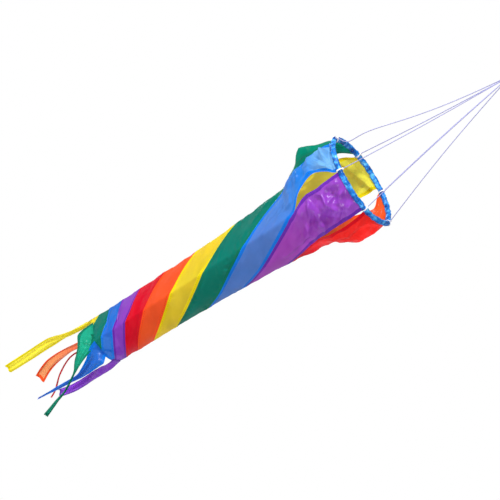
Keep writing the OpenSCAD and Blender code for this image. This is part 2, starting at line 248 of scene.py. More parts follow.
# For each strip, at those stations: how far its left and right edges leave the seam, in degrees
LEFT = [[10, 9, 1.5, 0, 0, 0, 0, 0, 0, 0],
        [0, 1, 2, 3, 5, 5, 4, 2, 0, 0],
        [1, 2, 4, 6, 8, 9, 10, 6, 0, 0],
        [4, 5, 6, 6, 6, 6, 5, 3, 0, 0],
        [6, 8, 8, 9, 10, 9, 7, 5, 0, 0],
        [0, 8, 20, 26, 26, 22, 14, 6, 0, 0]]
RIGHT = [[0, 1, 8, 15, 20, 19, 12, 8, 1, 0],
         [0, 0, -1, -2, -3, -4, -6, -3, 0, 0],
         [0, 1, 2, 3, 4, 4, 3, 2, 0, 0],
         [0, 0, 15, 15, 13, 10, 6, 3, 0, 0],
         [0, 0, -7, -12, -11, -10, -6, -3, 0, 0],
         [0, 0, 0, 0, 0, 0, 0, 0, 0, 0]]
# For each strip: how far its left edge, its fold and its right edge stand out of the plain surface, in mm
STAND = [
    [[0, 1, 3, 5, 6, 7, 9, 10, 8, 0],
     [0, 1, 3, 4, 4, 5, 6, 7, 5, 0],
     [0, -1, -2, -3, -3, -2, 0, 2, 1, 0]],
    [[0, 0, 0, 0, 1, 2, 2, 2, 1, 0],
     [0, 1, 3, 4, 5, 5, 5, 4, 2, 0],
     [0, 0, 0, 1, 2, 3, 4, 3, 1, 0]],
    [[0, 1, 2, 3, 4, 5, 5, 3, 1, 0],
     [0, 2, 4, 7, 9, 11, 7, 2, 0, 0],
     [0, 2, 5, 8, 10, 11, 5, 0, -1, 0]],
    [[0, 2, 5, 8, 10, 11, 5, 0, -1, 0],
     [0, 1, 4, 6, 7, 7, 5, 3, 1, 0],
     [0, 0, -3, -4, -3, -1, 0, 0, 0, 0]],
    [[0, 1, 2, 2, 2, 2, 1, 0, 0, 0],
     [0, 1, 3, 4, 5, 5, 4, 2, 1, 0],
     [0, 1, 2, 2, 1, 0, 0, 0, 0, 0]],
    [[0, -1, -2, -2, -1, 0, 1, 1, 0, 0],
     [0, 3, 9, 15, 23, 28, 17, 12, 8, 0],
     [0, 0, 2, 4, 5, 6, 8, 9, 7, 0]],
]
# The fold's place across each flap
FOLD_AT = [0.5, 0.5, 0.6, 0.5, 0.5, 0.76]


def along(values, s):
    """A flap's list of values at s, joined by a smooth cubic."""
    x, y = np.array(AT, float), np.array(values, float)
    slope = np.gradient(y, x)
    s = np.clip(s, x[0], x[-1])
    i = np.clip(np.searchsorted(x, s, side="right") - 1, 0, len(x) - 2)
    h = x[i + 1] - x[i]
    t = (s - x[i]) / h
    return ((1 + 2 * t) * (1 - t) ** 2 * y[i] + t * (1 - t) ** 2 * h * slope[i]
            + t * t * (3 - 2 * t) * y[i + 1] + t * t * (t - 1) * h * slope[i + 1])


def wave_noise(a, b, size, seed):
    """Soft random waves about size mm long, mostly within -0.5 to 0.5."""
    out = np.empty(a.shape)
    for i, (x, y) in enumerate(zip(a.ravel() / size, b.ravel() / size)):
        out.flat[i] = noise.noise(Vector((x, y, seed)))
    return out


def ridged(a, b, size, seed):
    """Sharp folds of crumpled cloth, about 0 to 1."""
    bent = 5 * wave_noise(a, b, size * 0.8, seed + 50)
    first = 1 - 2.2 * np.abs(wave_noise(a + bent, b - bent, size, seed))
    second = 1 - 2.2 * np.abs(wave_noise(b * 0.9 + bent, a * 1.2, size * 0.55, seed + 9))
    return 0.7 * first + 0.3 * second * np.clip(first, 0, 1)


def faceted(a, b, size, seed):
    """Flat facets with straight edges, as in crumpled cloth, about 0 to 1."""
    draw = np.random.default_rng(int(10 * seed) + 5)
    bent = 0.12 * wave_noise(a, b, size * 2, seed + 3)
    total = np.zeros(a.shape)
    for i, weight in enumerate([0.4, 0.35, 0.25]):
        heading = math.radians(20 + 55 * i + 25 * draw.random())
        wave = (a * math.cos(heading) + b * math.sin(heading)) / (size * (1 - 0.2 * i))
        total += weight * np.abs(np.mod(wave + draw.random() * 2 + bent, 2) - 1)
    return total


# Creases by strip: [s, share across, s, share across, height mm, half-width mm]; a valley's height is negative
CREASES = {
    0: [[12, 0.85, 46, 0.3, 7, 15], [5, 1.0, 20, 0.25, 6, 8], [5, 1.0, 30, 0.45, -5, 6],
        [5, 1.0, 38, 0.62, 6, 6], [5, 1.0, 46, 0.78, -4, 5], [10, 0.02, 10, 0.98, -7, 8],
        [46, 0.72, 66, 0.85, 3, 6], [20, 0.25, 40, 0.2, 3, 8], [122, 0.25, 150, 0.3, 2.0, 5],
        [128, 0.5, 170, 0.42, 1.6, 6], [95, 0.3, 118, 0.6, 2.5, 6], [100, 0.75, 132, 0.62, 2, 5]],
    1: [[24, 0.05, 44, 0.2, 4, 6], [44, 0.2, 43, 0.45, 5, 6], [43, 0.45, 33, 0.73, 5, 6],
        [24, 0.34, 43, 0.45, 4, 5], [33, 0.73, 47, 0.93, 3, 5], [60, 0.92, 78, 0.7, 4, 6],
        [78, 0.7, 93, 0.57, 5, 7], [93, 0.57, 78, 0.38, 4, 6], [78, 0.38, 66, 0.12, 3, 7],
        [93, 0.57, 122, 0.66, 4, 8], [122, 0.66, 160, 0.52, 2, 8], [60, 0.5, 66, 0.12, -3, 7],
        [12, 0.5, 24, 0.34, 2, 6]],
    2: [[14, 0.12, 52, 0.3, 3, 8], [52, 0.3, 84, 0.22, 2.5, 7], [20, 0.4, 58, 0.45, -3, 8],
        [16, 0.8, 60, 0.85, 1.5, 9], [70, 0.1, 96, 0.25, 2, 6], [100, 0.4, 140, 0.35, 1.5, 8]],
    3: [[8, 0.35, 40, 0.5, 4, 6], [15, 0.7, 45, 0.75, -3, 6], [10, 0.9, 30, 0.75, 3, 5],
        [40, 0.5, 80, 0.4, 3, 8]],
    4: [[30, 0.9, 25, 0.6, -8, 10], [25, 0.6, 20, 0.4, -8, 9], [20, 0.4, 12, 0.04, -7, 9],
        [26, 0.45, 60, 0.5, 4, 8], [60, 0.9, 85, 0.75, 3, 7]],
    5: [[12, 0.35, 40, 0.6, 3, 8], [40, 0.6, 66, 0.72, 3, 8], [128, 0.75, 144, 0.9, -3, 6],
        [144, 0.9, 160, 0.7, 2.5, 6], [150, 0.55, 178, 0.72, 2, 6], [196, 0.92, 206, 0.72, 1.2, 3],
        [206, 0.95, 218, 0.74, 1.2, 3], [216, 0.95, 226, 0.8, 1.0, 3], [250, 0.3, 268, 0.62, 1.2, 5]],
}


def creased(k, s, x, width):
    """Height of strip k's highest ridge and deepest valley at each point; x is mm from its middle."""
    ridge, valley = np.zeros(s.shape), np.zeros(s.shape)
    for s0, u0, s1, u1, height, reach in CREASES[k]:
        a = np.array([s0, (u0 - 0.5) * np.interp(s0, STATIONS, width)])
        b = np.array([s1, (u1 - 0.5) * np.interp(s1, STATIONS, width)])
        run = b - a
        t = ((s - a[0]) * run[0] + (x - a[1]) * run[1]) / (run @ run)
        c = np.clip(t, 0, 1)
        d = np.hypot(s - a[0] - c * run[0], x - a[1] - c * run[1])
        rise = height * np.maximum(0, 1 - d / reach) ** 1.1
        ridge, valley = np.maximum(ridge, rise), np.minimum(valley, rise)
    return ridge + valley


# How crumpled each flap is, and how puckered each strip is beside its seams, in mm
CRUMPLED = [9.0, 15.0, 5.0, 5.0, 7.0, 3.5]
PUCKERED = [1.4, 1.2, 1.0, 1.6, 1.5, 2.6]


def strip_surface(k, s, u, lift, width):
    """Points of strip k at s below the hoop and share u across it, lift mm out of its surface."""
    left_edge = seam_angle(k, s) + along(LEFT[k], s)
    right_edge = seam_angle(k + 1, s) - along(RIGHT[k], s)
    phi = left_edge + (right_edge - left_edge) * u
    plain_r = np.where(s < FLAP_END, flap_r(s), tube_r(s)) * section(phi, s)
    left_out, fold_out, right_out = (along(v, s) for v in STAND[k])
    fold = FOLD_AT[k]
    share = np.where(u < fold, u / fold, (1 - u) / (1 - fold))
    ease = smooth(share)
    # the green flap's fold is sharp
    if k == GREEN:
        fold_out = np.interp(s, AT, STAND[k][1])
        ease = share ** 1.1
    edge = np.where(u < fold, left_out, right_out)
    radius = plain_r + edge + (fold_out - edge) * ease

    # listed creases, then folds that are deep in the flaps and faint down the tube
    x = (u - 0.5) * np.interp(s, STATIONS, width)
    loose = 1 - smooth((s - 70) / 90)
    inside = np.minimum(1, 5 * u * (1 - u) + 0.12)
    radius += inside * smooth((s - 3) / 8) * creased(k, s, x, width)
    folds = 0.3 * ridged(x, s, 24, 3.1 * k) + 0.7 * faceted(x, s, 17, 3.1 * k)
    radius += (1.2 + CRUMPLED[k] * loose) * inside * smooth((s - 3) / 12) * (folds - 0.5)
    radius += 1.1 * (1 - loose) * inside * wave_noise(x * 0.6, s * 0.35, 16, 9.0 + k)

    # short puckers in patches beside the seams
    patchy = np.clip(2.2 * wave_noise(x, s, 40, 70.0 + k) + 0.2 + 0.2 * PUCKERED[k], 0, 1)
    by_seam = np.exp(-((np.minimum(u, 1 - u) - 0.16) / 0.1) ** 2)
    puckers = wave_noise(s + 0.6 * x, 0.35 * x, 5, 20.0 + k)
    radius += PUCKERED[k] * patchy * by_seam * puckers * smooth((s - 80) / 30)

    radius += lift
    t = np.radians(phi)
    return np.stack([radius * np.cos(t), radius * np.sin(t), -s], axis=-1)


def stations():
    """Rows down a strip: evenly spaced down the flap, then at even turns of the spiral."""
    flap = np.concatenate([[2.7], np.linspace(5, FLAP_END, 92)])
    turns = np.linspace(0, spiral(TUBE_LEN), 230)[1:]
    return np.concatenate([flap, TWIST_END - (TWIST_END - FLAP_END) * np.exp(-turns / TWIST)])


STATIONS = stations()
# Width of the hems along a strip's edges, and of those at the ends of the tube and the tails
HEM_W, END_HEM = 6.0, 5


def width_at(k, s):
    """Width of strip k round the tube in mm, near enough for its hems and folds."""
    span = seam_angle(k + 1, s) - along(RIGHT[k], s) - seam_angle(k, s) - along(LEFT[k], s)
    return np.radians(span) * np.where(s < FLAP_END, flap_r(s), tube_r(s))


# ---------------------------------------------------------------- meshes
def grid_object(name, points, uv, materials, bands=None):
    """A sheet from an n x m grid of points in mm; bands gives the place of each face's material."""
    n, m = points.shape[:2]
    mesh = bpy.data.meshes.new(name)
    index = np.arange(n * m).reshape(n, m)
    quads = np.stack([index[:-1, :-1], index[1:, :-1], index[1:, 1:], index[:-1, 1:]], -1).reshape(-1, 4)
    mesh.from_pydata(hang(points.reshape(-1, 3) * MM).tolist(), [], quads.tolist())
    layer = mesh.uv_layers.new(name="cloth")
    layer.data.foreach_set("uv", uv.reshape(-1, 2)[quads.ravel()].astype(np.float32).ravel())
    mesh.polygons.foreach_set("use_smooth", [True] * len(quads))
    for mat in materials:
        mesh.materials.append(mat)
    if bands is not None:
        mesh.polygons.foreach_set("material_index", bands.ravel().astype(int).tolist())
    o = bpy.data.objects.new(name, mesh)
    scene.collection.objects.link(o)
    return o


# ---------------------------------------------------------------- materials
class Shader:
    """A node material, with short names for the nodes that the looks use."""

    def __init__(self, name):
        self.material = bpy.data.materials.new(name)
        self.material.use_nodes = True
        self.tree = self.material.node_tree
        self.surface = self.tree.nodes["Principled BSDF"]
        self.output = self.tree.nodes["Material Output"]

    def node(self, kind, **values):
        n = self.tree.nodes.new(kind)
        for key, value in values.items():
            setattr(n, key, value)
        return n

    def link(self, a, b):
        self.tree.links.new(a, b)

    def put(self, value, socket):
        """Another node's output, or a constant, into a socket."""
        if isinstance(value, bpy.types.NodeSocket):
            self.link(value, socket)
        else:
            socket.default_value = value

    def coordinates(self, kind):
        return self.node("ShaderNodeTexCoord").outputs[kind]

    def parts(self, vector):
        """The x, y and z of a vector."""
        split = self.node("ShaderNodeSeparateXYZ")
        self.link(vector, split.inputs[0])
        return split.outputs

    def math(self, operation, *values):
        n = self.node("ShaderNodeMath", operation=operation)
        for socket, value in zip(n.inputs, values):
            self.put(value, socket)
        return n.outputs[0]

    def wave(self, kind, coordinate, pitch):
        """A SINE or COSINE along a coordinate, with its pitch in metres."""
        return self.math(kind, self.math("MULTIPLY", coordinate, 2 * math.pi / pitch))

    def noise(self, vector, scale, detail):
        n = self.node("ShaderNodeTexNoise")
        n.inputs["Scale"].default_value = scale
        n.inputs["Detail"].default_value = detail
        self.link(vector, n.inputs["Vector"])
        return n.outputs["Fac"]

    def ramp(self, fac, stops):
        """Colours at places from 0 to 1, in order."""
        n = self.node("ShaderNodeValToRGB")
        points = n.color_ramp.elements
        for point, (place, color) in zip(points, (stops[0], stops[-1])):
            point.position = place
            point.color = (*color, 1)
        for place, color in stops[1:-1]:
            points.new(place).color = (*color, 1)
        self.link(fac, n.inputs["Fac"])
        return n.outputs["Color"]

    def mix(self, fac, a, b, blend="MIX"):
        """Colour b over colour a by fac."""
        n = self.node("ShaderNodeMix", data_type="RGBA", blend_type=blend)
        self.put(fac, n.inputs["Factor"])
        self.put(a, n.inputs["A"])
        self.put(b, n.inputs["B"])
        return n.outputs["Result"]

    def mix_shaders(self, fac, a, b):
        n = self.node("ShaderNodeMixShader")
        n.inputs["Fac"].default_value = fac
        self.link(a, n.inputs[1])
        self.link(b, n.inputs[2])
        return n.outputs[0]

    def finish(self, color, rough, height, distance, strength):
        """The main surface's colour, roughness and bumps."""
        self.put(color, self.surface.inputs["Base Color"])
        self.put(rough, self.surface.inputs["Roughness"])
        n = self.node("ShaderNodeBump")
        n.inputs["Distance"].default_value = distance
        n.inputs["Strength"].default_value = strength
        self.link(height, n.inputs["Height"])
        self.link(n.outputs["Normal"], self.surface.inputs["Normal"])


def linear(r, g, b):
    """A colour given as screen values from 0 to 255, in linear light."""
    return tuple((c / 255 / 12.92) if c <= 10 else ((c / 255 + 0.055) / 1.055) ** 2.4 for c in (r, g, b))


WHITE, BLACK = (1, 1, 1), (0, 0, 0)
THREAD_PITCH, RIPSTOP_PITCH, STITCH_PITCH, STITCH_HALF = 0.0007, 0.006, 0.0032, 0.0004
# Where a piece's colour changes, on a scale of its length in metres times DOWN_SCALE: a tail's root is a FLAP
DOWN_SCALE = 1.8
# the painted highlight beside the hoop fades out over this band
HIGHLIGHT_FADE_BAND = [(0.045, WHITE), (0.11, BLACK)]
FLAP_BAND = [(0.126, WHITE), (0.26, BLACK)]
END_BAND = [(0.66, BLACK), (0.84, WHITE)]


def cloth(name, color, sheer, shine, through=0.4, stitch=0.0, weave_depth=0.5,
          hoop_painted_highlight=None, flap=None, end=None):
    """Thin coated nylon: a fine weave with ripstop lines, slow colour drift and light through it.

    sheer is the share of gaps, and through the share of light that is spread through. stitch is how far in from
    the edge a row of thread runs. Its colour beside the hoop is a paler painted highlight; flap and end are its
    colours down the free length and near the tail end.
    """
    sh = Shader(name)
    uv = sh.coordinates("UV")
    across, down, _ = sh.parts(uv)
    weave = sh.math("MULTIPLY", sh.wave("SINE", across, THREAD_PITCH), sh.wave("SINE", down, THREAD_PITCH))
    ripstop = sh.math("MAXIMUM", *(sh.math("GREATER_THAN", sh.wave("COSINE", part, RIPSTOP_PITCH), 0.985)
                                   for part in (across, down)))

    drift = sh.noise(uv, 22, 3)
    dark = tuple(c * 0.88 for c in color)
    light = tuple(min(1, c * 1.08 + 0.003) for c in color)
    tint = sh.ramp(drift, [(0.3, dark), (0.7, light)])
    place = sh.math("MULTIPLY", down, DOWN_SCALE)
    # the colour beside the hoop is a painted highlight
    for other, band in ((flap, FLAP_BAND), (hoop_painted_highlight, HIGHLIGHT_FADE_BAND), (end, END_BAND)):
        if other:
            darker = tuple(c * 0.85 for c in other)
            tint = sh.mix(sh.ramp(place, band), tint, sh.ramp(drift, [(0.3, darker), (0.7, other)]))

    # darker where the weave dips is painted shade between threads; darker on the ripstop lines is their own
    # thread colour
    weave_shade_and_ripstop = sh.ramp(sh.math("SUBTRACT", weave, ripstop), [(0.0, (0.6, 0.6, 0.6)), (1.0, WHITE)])
    tone = sh.mix(0.1, tint, weave_shade_and_ripstop, blend="MULTIPLY")
    height = sh.math("ADD", sh.math("ADD", weave, ripstop), sh.math("MULTIPLY", sh.noise(uv, 260, 2), 2.5))
    if stitch:
        off = sh.math("ABSOLUTE", sh.math("SUBTRACT", across, stitch))
        dash = sh.math("GREATER_THAN", sh.wave("SINE", down, STITCH_PITCH), -0.3)
        mark = sh.math("MULTIPLY", sh.math("LESS_THAN", off, STITCH_HALF), dash)
        tone = sh.mix(mark, tone, (*(min(1, 0.5 * c + 0.02) for c in color), 1))
        height = sh.math("ADD", height, sh.math("MULTIPLY", mark, 4))
    sh.finish(tone, 0.24, height, 0.00003, weave_depth)
    sh.surface.inputs["Specular IOR Level"].default_value = shine

    lit = sh.node("ShaderNodeBsdfTranslucent")
    sh.link(tone, lit.inputs["Color"])
    gaps = sh.node("ShaderNodeBsdfTransparent")
    gaps.inputs["Color"].default_value = (*(0.06 + 0.94 * c ** 0.6 for c in color), 1)
    solid = sh.mix_shaders(through, sh.surface.outputs["BSDF"], lit.outputs["BSDF"])
    sh.link(sh.mix_shaders(sheer, solid, gaps.outputs["BSDF"]), sh.output.inputs["Surface"])
    return sh.material


# Colours down the tube, a paler painted highlight beside the hoop, of the flaps, of the hems and near the
# tube's end;
# then the share of gaps and the shine of each strip; then the colours of the tails' roots and of the tails
COLORS = {"blue": linear(78, 132, 218), "purple": linear(168, 68, 198), "red": linear(222, 0, 36),
          "orange": linear(250, 88, 36), "yellow": linear(238, 216, 44), "green": linear(0, 120, 104)}
# pale blue beside the hoop is a painted highlight for light on the blue flap's folds there
PAINTED_HOOP_HIGHLIGHT = {"blue": linear(118, 186, 246)}
FLAPS = {"blue": linear(36, 132, 234), "purple": linear(152, 68, 206), "red": linear(255, 44, 40),
         "orange": linear(255, 92, 38), "yellow": linear(240, 234, 70), "green": linear(0, 134, 108)}
HEMS = {"blue": linear(0, 116, 226), "purple": linear(100, 30, 170), "red": linear(215, 0, 28),
        "orange": linear(245, 80, 25), "yellow": linear(232, 214, 0), "green": linear(0, 118, 92)}
ENDS = {"blue": linear(20, 116, 228), "purple": linear(136, 56, 206)}
SHEER = {"blue": 0.1, "purple": 0.08, "red": 0.06, "orange": 0.08, "yellow": 0.14, "green": 0.01}
SHINE = {"blue": 0.2, "purple": 0.34, "red": 0.12, "orange": 0.12, "yellow": 0.14, "green": 0.1}
ROOTS = {"blue": linear(16, 104, 218), "purple": linear(132, 58, 200), "red": linear(120, 24, 84),
         "orange": linear(236, 80, 38)}
RIBBONS = {"blue": linear(84, 166, 236), "purple": linear(160, 70, 240), "red": linear(134, 48, 118),
           "orange": linear(255, 152, 88), "yellow": linear(244, 230, 62), "green": linear(22, 166, 132)}
RIBBON_SHEER = {"orange": 0.2}
CLOTH = {n: cloth("nylon_" + n, COLORS[n], SHEER[n], SHINE[n],
                  hoop_painted_highlight=PAINTED_HOOP_HIGHLIGHT.get(n), flap=FLAPS[n], end=ENDS.get(n))
         for n in NAMES}
HEM = {n: cloth("hem_" + n, HEMS[n], 0.03, SHINE[n] * 0.6, through=0.3, stitch=0.0035) for n in NAMES}
RIBBON = {n: cloth("ribbon_" + n, RIBBONS[n], RIBBON_SHEER.get(n, 0.06), SHINE[n] * 1.2,
                   weave_depth=0.12, flap=ROOTS.get(n))
          for n in NAMES}


def gathered_cloth():
    """The sleeve's crumpled nylon: painted highlight in light blue, meant for its ridges, and painted shade in
    deep blue, meant for its folds, laid in patches by noise.
    """
    sh = Shader("sleeve_nylon")
    uv = sh.coordinates("UV")
    # light blue is painted highlight and deep blue is painted shade; the middle blue is the sleeve's own colour
    sleeve_blues_and_painted_light = [(0.34, linear(0, 52, 122)), (0.52, linear(4, 104, 186)), (0.72, linear(92, 184, 234))]
    sh.finish(sh.ramp(sh.noise(uv, 90, 2), sleeve_blues_and_painted_light), 0.34, sh.noise(uv, 420, 3), 0.0004, 0.8)
    sh.surface.inputs["Specular IOR Level"].default_value = 0.25
    return sh.material


STRAND_PITCH = 0.0016


def twisted_line(name, color):
    """Braided cord: slanting strands across its width, with painted shade, a darker colour, in the grooves
    between them.
    """
    sh = Shader(name)
    x, y, z = sh.parts(sh.coordinates("Object"))
    strands = sh.wave("SINE", sh.math("ADD", sh.math("ADD", x, y), z), STRAND_PITCH)
    height = sh.math("MULTIPLY", sh.math("ADD", strands, 1.0), 0.5)
    # the darker colour in the grooves between strands is painted shade
    dark = tuple(c * 0.8 for c in color)
    sh.finish(sh.ramp(height, [(0.0, dark), (0.8, color)]), 0.75, strands, 0.0002, 0.7)
    return sh.material


def metal(name, color, rough):
    """Plated metal with a fine grain and small dull patches."""
    sh = Shader(name)
    where = sh.coordinates("Object")
    patches = sh.noise(where, 260, 3)
    tone = sh.ramp(patches, [(0.3, tuple(c * 0.75 for c in color)), (0.7, color)])
    dullness = sh.ramp(patches, [(0.3, (rough * 1.6,) * 3), (0.7, (rough,) * 3)])
    sh.finish(tone, dullness, sh.noise(where, 900, 4), 0.00003, 0.5)
    sh.surface.inputs["Metallic"].default_value = 1.0
    return sh.material


SLEEVE = gathered_cloth()
LINE = twisted_line("bridle_cord", linear(150, 150, 196))
KNOT = twisted_line("knot_cord", linear(238, 238, 244))
STEEL = metal("snap_steel", (0.72, 0.73, 0.75), 0.22)
BRASS = metal("swivel_brass", (0.80, 0.58, 0.28), 0.25)
BALL = metal("ball_steel", (0.80, 0.81, 0.83), 0.1)
TUBE_BRASS = metal("ferrule_brass", (0.72, 0.55, 0.30), 0.35)


def fibre():
    """The rod's pale glass fibre, finely mottled."""
    sh = Shader("glass_fibre")
    where = sh.coordinates("Object")
    tone = sh.ramp(sh.noise(where, 500, 4), [(0.3, (0.72, 0.72, 0.66)), (0.7, (0.86, 0.86, 0.80))])
    sh.finish(tone, 0.4, sh.noise(where, 1500, 2), 0.00004, 0.5)
    return sh.material


FIBRE = fibre()


# Columns of each hem and of the cloth between them, and how far a hem's columns stand out, in mm
HEM_COLS, INNER_COLS, HEM_LIFT = 4, 43, [0.25, 0.45, 0.45, 0.4]


def strip(k):
    """Strip k, with a raised and stitched hem down each edge and a hem at the tube's end."""
    s, name = STATIONS, NAMES[k]
    width = width_at(k, s)
    hem = np.clip(HEM_W / width, 0, 0.2)[:, None]
    edge = np.linspace(0, 1, HEM_COLS + 1)[None, :]
    inner = hem + (1 - 2 * hem) * np.linspace(0, 1, INNER_COLS)[None, :]
    u = np.concatenate([hem * edge[:, :-1], inner, 1 - hem * (1 - edge[:, 1:])], axis=1)
    cols = u.shape[1]
    below = np.repeat(s[:, None], cols, axis=1)
    lift = np.zeros(u.shape)
    lift[:, :HEM_COLS] = HEM_LIFT
    lift[:, -HEM_COLS:] = HEM_LIFT[::-1]
    points = strip_surface(k, below, u, lift, width)

    # across the hems the pattern is measured from the nearer edge, so that both rows of stitches keep to it
    column = np.arange(cols)
    in_hem = (column <= HEM_COLS) | (column >= cols - HEM_COLS - 1)
    flat_x = np.where(in_hem, np.minimum(u, 1 - u), u) * width[:, None]
    uv = np.stack([flat_x * MM, below * MM], axis=-1)
    bands = np.zeros((len(s) - 1, cols - 1), int)
    bands[:, :HEM_COLS] = bands[:, -HEM_COLS:] = 1
    bands[s[1:] > TUBE_LEN - END_HEM, :] = 1

    o = grid_object("strip_cloth_" + name, points, uv, [CLOTH[name], HEM[name]], bands)
    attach(o, "windsock")
    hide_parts("strip_" + name)


for k in range(SIDES):
    strip(k)


# ---------------------------------------------------------------- hoop sleeve
# The sleeve's radius round the rod, how far it laps past its seam in radians, and the lap's rise in mm
SLEEVE_R, SLEEVE_LAP, LAP_RISE = 3.7, 0.3, 0.4


def hoop_line(degrees):
    """Radius of the hoop at a direction: drawn out a little where its ends meet and opposite."""
    off = (np.asarray(degrees, float) + 180) % 360 - 180
    return HOOP_R + 2.6 * np.exp(-(off / 8) ** 2) + 1.4 * np.exp(-((np.abs(off) - 180) / 9) ** 2) - 0.5


def sleeve():
    """The cloth round the hoop: gathered in short ridges, with its lapped seam underneath."""
    round_hoop = np.linspace(0, 360, 901)
    round_rod = np.linspace(-0.5 * math.pi - SLEEVE_LAP, 1.5 * math.pi + SLEEVE_LAP, 29)
    degrees, turn = np.meshgrid(round_hoop, round_rod, indexing="ij")
    t = np.radians(degrees)
    gathers = np.empty(degrees.shape)
    for i in range(degrees.shape[0]):
        for j in range(degrees.shape[1]):
            x, y = math.cos(t[i, j]) * HOOP_R, math.sin(t[i, j]) * HOOP_R
            fine = noise.noise(Vector((x / 2.6, y / 2.6, 1.1 * math.cos(turn[i, j]))))
            broad = noise.noise(Vector((x / 7, y / 7, 5 + 1.5 * math.sin(turn[i, j]))))
            gathers[i, j] = fine * 0.75 + broad * 0.9
    lap = LAP_RISE * (turn - round_rod[0]) / (round_rod[-1] - round_rod[0])
    thick = SLEEVE_R - 0.2 + gathers + lap + 0.35 * np.maximum(0, -np.sin(turn)) ** 3
    out = hoop_line(degrees) + thick * np.cos(turn)
    points = np.stack([out * np.cos(t), out * np.sin(t), 1.12 * thick * np.sin(turn)], -1)
    uv = np.stack([t * HOOP_R * MM, turn * 0.005], -1)
    o = grid_object("sleeve_cloth", points, uv, [SLEEVE])

    # the first and last rows are the same place on the hoop
    work = bmesh.new()
    work.from_mesh(o.data)
    bmesh.ops.remove_doubles(work, verts=work.verts, dist=1e-7)
    bmesh.ops.recalc_face_normals(work, faces=work.faces)
    work.to_mesh(o.data)
    work.free()
    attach(o, "windsock")
    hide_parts("hoop_sleeve")


sleeve()

# ---------------------------------------------------------------- bridle
LINE_R = 0.7
# Directions in which the six lines meet the hoop; the one at DROOP_AT droops near the hoop
LINE_AT = [0, 64, 120, 180, 246, 301]
DROOP_AT, DROOP, DROOP_SHARE = 180, 0.010, 0.045
KNOT_LO, KNOT_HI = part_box("bridle_knot")
KNOT_MID = (KNOT_LO + KNOT_HI) / 2
LOOP_R, LOOP_WIRE = 0.0036, 0.0008
TO_SOCK = np.linalg.inv(SOCK_NP)
KNOT_X, KNOT_Y = (TO_SOCK @ np.array([*KNOT_MID, 1]))[:2]
LOOP_Z = (TO_SOCK @ np.array([KNOT_MID.x, KNOT_MID.y, KNOT_HI.z - LOOP_R - LOOP_WIRE, 1]))[2]
# How far from the knot's middle the lines enter it, their height there, and the foot of its wrapping
LINE_SPREAD, LINE_TOP, WRAP_FOOT = 0.0017, 0.272, 0.2706


def tube_curve(name, points, radius, mat, closed=False):
    """A round cord along sock points in metres."""
    data = bpy.data.curves.new(name, "CURVE")
    data.dimensions, data.bevel_depth, data.bevel_resolution = "3D", radius, 3
    data.use_fill_caps = True
    spline = data.splines.new("POLY")
    spline.points.add(len(points) - 1)
    for p, q in zip(spline.points, hang(points)):
        p.co = (*q, 1)
    spline.use_cyclic_u = closed
    data.materials.append(mat)
    o = bpy.data.objects.new(name, data)
    scene.collection.objects.link(o)
    return o


def as_mesh(curves):
    """Cords turned into one mesh, under the first one's name."""
    bpy.ops.object.select_all(action="DESELECT")
    for o in curves:
        o.select_set(True)
    bpy.context.view_layer.objects.active = curves[0]
    bpy.ops.object.convert(target="MESH")
    if len(curves) > 1:
        bpy.ops.object.join()
    o = bpy.context.view_layer.objects.active
    o.data.polygons.foreach_set("use_smooth", [True] * len(o.data.polygons))
    return o


def hoop_point(degrees, up_by=0.0):
    """A point in metres on the rod's middle line, or up_by mm above it."""
    t = math.radians(degrees)
    r = float(hoop_line(degrees))
    return np.array([r * math.cos(t), r * math.sin(t), up_by]) * MM


def bridle(i):
    """Line i from its knot on the hoop to the gathering knot, with a little sag towards the middle."""
    degrees = LINE_AT[i]
    t = math.radians(degrees)
    foot = hoop_point(degrees, SLEEVE_R + 1.2)
    head_ = np.array([KNOT_X + LINE_SPREAD * math.cos(t), KNOT_Y + LINE_SPREAD * math.sin(t), LINE_TOP])
    share = (np.linspace(0, 1, 60) ** 1.4)[:, None]
    line = foot + (head_ - foot) * share
    sag = 0.0025 + 0.0015 * rng.random() + (0.006 if degrees == DROOP_AT else 0)
    inwards = np.array([math.cos(t), math.sin(t), 0]) * -1
    line += inwards * sag * np.sin(np.pi * share)
    if degrees == DROOP_AT:
        line += np.array([1, 0, 0]) * DROOP * share / DROOP_SHARE * np.exp(1 - share / DROOP_SHARE)
    o = tube_curve(f"bridle_cord_{i + 1}", line, LINE_R * MM, LINE)
    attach(o, "windsock")
    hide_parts(f"bridle_line_{i + 1}")


def line_knot(i):
    """Two turns of the line round the sleeve, a small knot on top and its cut end."""
    degrees = LINE_AT[i]
    t = math.radians(degrees)
    radial = np.array([math.cos(t), math.sin(t), 0])
    tangent = np.array([-math.sin(t), math.cos(t), 0])
    centre = hoop_point(degrees)

    def place(outwards, sideways, upwards):
        return centre + MM * (np.outer(outwards, radial) + np.outer(sideways, tangent)
                              + np.outer(upwards, [0, 0, 1]))

    turn = np.linspace(0, 4 * math.pi, 60)
    r = SLEEVE_R + 0.75 + 0.35 * np.sin(turn * 1.5 + i)
    turns = place(r * np.sin(turn), (turn / turn[-1] - 0.5) * 2.2, 1.1 * r * np.cos(turn))
    knot = np.linspace(0, 3 * math.pi, 36)
    height = SLEEVE_R + 0.9 + 0.9 * np.sin(knot * 2) + 0.15 * knot
    bundle = place(1.1 * np.cos(knot), 1.1 * np.sin(knot), height)
    share = np.linspace(0, 1, 12)
    lean = rng.uniform(-1, 1)
    end = bundle[-1] + place(2.5 * share, 5.5 * share * lean, -3.0 * share ** 2) - centre
    o = as_mesh([tube_curve(f"knot_cord_{i + 1}", np.concatenate([turns, bundle, end[1:]]), 0.0006, KNOT)])
    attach(o, "windsock")
    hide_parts(f"line_knot_{i + 1}")


